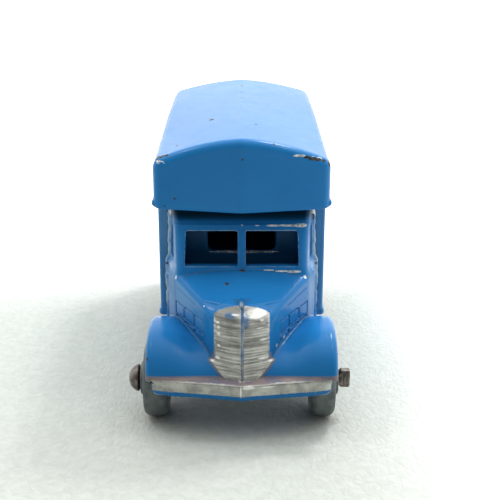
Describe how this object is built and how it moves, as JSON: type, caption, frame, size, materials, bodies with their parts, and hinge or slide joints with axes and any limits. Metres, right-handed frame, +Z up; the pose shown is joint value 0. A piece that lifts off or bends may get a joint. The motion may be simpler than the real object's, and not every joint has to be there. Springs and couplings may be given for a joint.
{
  "type": "die-cast toy van",
  "caption": "Small die-cast toy removal van with a bonneted cab, sweeping wings and a box body that overhangs the cab, rolling on cast wheels that spin on nail axles.",
  "frame": {"origin": "on the ground, under the middle of the van's bounding box", "axes": "+X to the right side seen from in front, +Y to the rear of the van, +Z up"},
  "size_m": [0.027, 0.054, 0.0336],
  "materials": {
    "body_enamel": "gloss blue enamel with silver-painted grille and bumper, chipped on the edges",
    "base_enamel": "thin blue enamel on a rough casting",
    "wheel_zinc": "dull grey bare casting",
    "axle_steel": "darkened nail steel",
    "rivet_steel": "dull rivet"
  },
  "bodies": {
    "van": {"body_casting": "body_enamel", "base_casting": "base_enamel", "front_base_rivet": "rivet_steel", "rear_base_rivet": "rivet_steel"},
    "front_axle_set": {"front_axle": "axle_steel"},
    "rear_axle_set": {"rear_axle": "axle_steel"},
    "front_left": {"front_left_wheel": "wheel_zinc"},
    "front_right": {"front_right_wheel": "wheel_zinc"},
    "rear_left": {"rear_left_wheel": "wheel_zinc"},
    "rear_right": {"rear_right_wheel": "wheel_zinc"}
  },
  "joints": [
    {"name": "front_axle_spin", "type": "hinge", "parent": "van", "child": "front_axle_set", "pos_m": [0, -0.0196, 0.00465], "axis": [1, 0, 0], "continuous": true},
    {"name": "rear_axle_spin", "type": "hinge", "parent": "van", "child": "rear_axle_set", "pos_m": [0, 0.0146, 0.00465], "axis": [1, 0, 0], "continuous": true},
    {"name": "front_left_spin", "type": "hinge", "parent": "front_axle_set", "child": "front_left", "pos_m": [-0.0103, -0.0196, 0.00465], "axis": [1, 0, 0], "continuous": true},
    {"name": "front_right_spin", "type": "hinge", "parent": "front_axle_set", "child": "front_right", "pos_m": [0.0098, -0.0196, 0.00465], "axis": [1, 0, 0], "continuous": true},
    {"name": "rear_left_spin", "type": "hinge", "parent": "rear_axle_set", "child": "rear_left", "pos_m": [-0.00873, 0.0146, 0.00465], "axis": [1, 0, 0], "continuous": true},
    {"name": "rear_right_spin", "type": "hinge", "parent": "rear_axle_set", "child": "rear_right", "pos_m": [0.00897, 0.0146, 0.00465], "axis": [1, 0, 0], "continuous": true}
  ]
}
